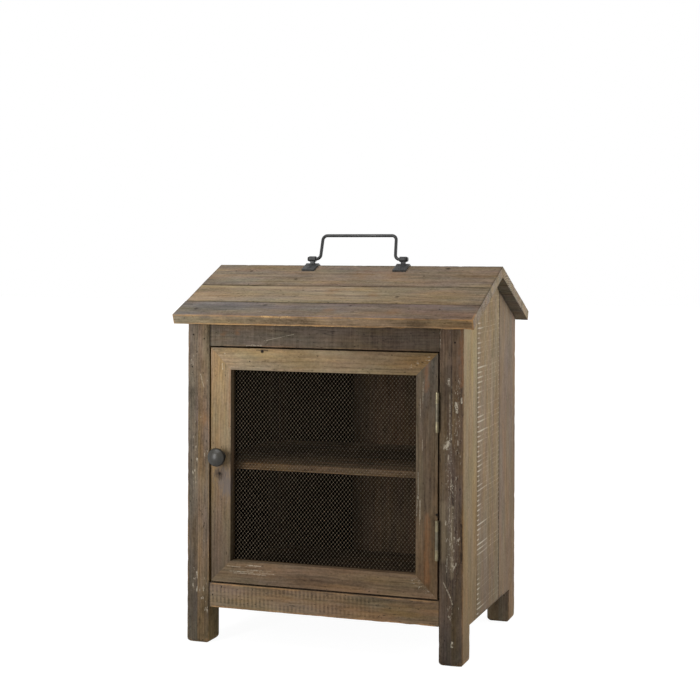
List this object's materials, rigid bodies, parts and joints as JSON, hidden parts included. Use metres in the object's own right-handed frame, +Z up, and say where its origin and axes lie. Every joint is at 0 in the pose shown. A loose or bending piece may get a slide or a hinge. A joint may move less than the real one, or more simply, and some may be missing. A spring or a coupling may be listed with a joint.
{
  "type": "meat safe",
  "caption": "Gabled wooden meat safe on short legs, with a hinged wire-mesh door, an inner shelf, a turned knob and a folding carrying bail on the ridge.",
  "frame": {"origin": "on the floor, under the middle of the ridge: the middle of the body's width and depth", "axes": "+X to the right seen from the front (hinge side), +Y towards the back, +Z up"},
  "size_m": [0.47, 0.366, 0.6225],
  "materials": {
    "carcass_wood": "old grey-brown pine, saw marked, waxed",
    "roof_wood": "old grey-brown pine boards, worn arrises",
    "door_wood": "old brown pine, worn",
    "inner_wood": "brown pine, unplaned",
    "wire_mesh": "dull bronzed wire",
    "hinge_brass": "dulled brass",
    "dark_iron": "blackened iron",
    "catch_plastic": "brown moulded",
    "bright_steel": "zinc plated"
  },
  "bodies": {
    "carcass": {"back_board_1": "inner_wood", "back_board_2": "inner_wood", "back_board_3": "inner_wood", "catch_body": "catch_plastic", "catch_screws": "bright_steel", "floor_board_1": "inner_wood", "floor_board_2": "inner_wood", "front_bottom_rail": "carcass_wood", "front_roof_eave_board": "roof_wood", "front_roof_middle_board": "roof_wood", "front_roof_ridge_board": "roof_wood", "front_top_rail": "carcass_wood", "hinge_frame_screws": "hinge_brass", "hinge_pins": "hinge_brass", "left_floor_cleat": "inner_wood", "left_front_post": "carcass_wood", "left_handle_eye": "dark_iron", "left_rear_post": "carcass_wood", "left_saddle": "dark_iron", "left_shelf_cleat": "inner_wood", "left_side_front_plank": "carcass_wood", "left_side_middle_plank": "carcass_wood", "left_side_rear_plank": "carcass_wood", "lower_hinge_frame_leaf": "hinge_brass", "rear_bottom_rail": "inner_wood", "rear_roof_eave_board": "roof_wood", "rear_roof_middle_board": "roof_wood", "rear_roof_ridge_board": "roof_wood", "rear_top_rail": "inner_wood", "right_floor_cleat": "inner_wood", "right_front_post": "carcass_wood", "right_handle_eye": "dark_iron", "right_rear_post": "carcass_wood", "right_saddle": "dark_iron", "right_shelf_cleat": "inner_wood", "right_side_front_plank": "carcass_wood", "right_side_middle_plank": "carcass_wood", "right_side_rear_plank": "carcass_wood", "saddle_screws": "dark_iron", "shelf_board_1": "inner_wood", "shelf_board_2": "inner_wood", "upper_hinge_frame_leaf": "hinge_brass"},
    "door": {"door_left_stile": "door_wood", "door_right_stile": "door_wood", "door_top_rail": "door_wood", "door_bottom_rail": "door_wood", "mesh_bead_left": "inner_wood", "mesh_bead_right": "inner_wood", "mesh_bead_top": "inner_wood", "mesh_bead_bottom": "inner_wood", "door_mesh": "wire_mesh", "lower_hinge_door_leaf": "hinge_brass", "upper_hinge_door_leaf": "hinge_brass", "hinge_door_screws": "hinge_brass", "door_knob": "dark_iron", "knob_screw": "bright_steel", "strike_plate": "bright_steel", "strike_screw": "bright_steel"},
    "carry_handle": {"bail_handle": "dark_iron"}
  },
  "joints": [
    {"name": "door_hinge", "type": "hinge", "parent": "carcass", "child": "door", "pos_m": [0.1784, -0.164, 0.2723], "axis": [0, 0, 1], "range_deg": [0, 180]},
    {"name": "bail_hinge", "type": "hinge", "parent": "carcass", "child": "carry_handle", "pos_m": [0, 0, 0.58347], "axis": [1, 0, 0], "range_deg": [-105, 135]}
  ]
}
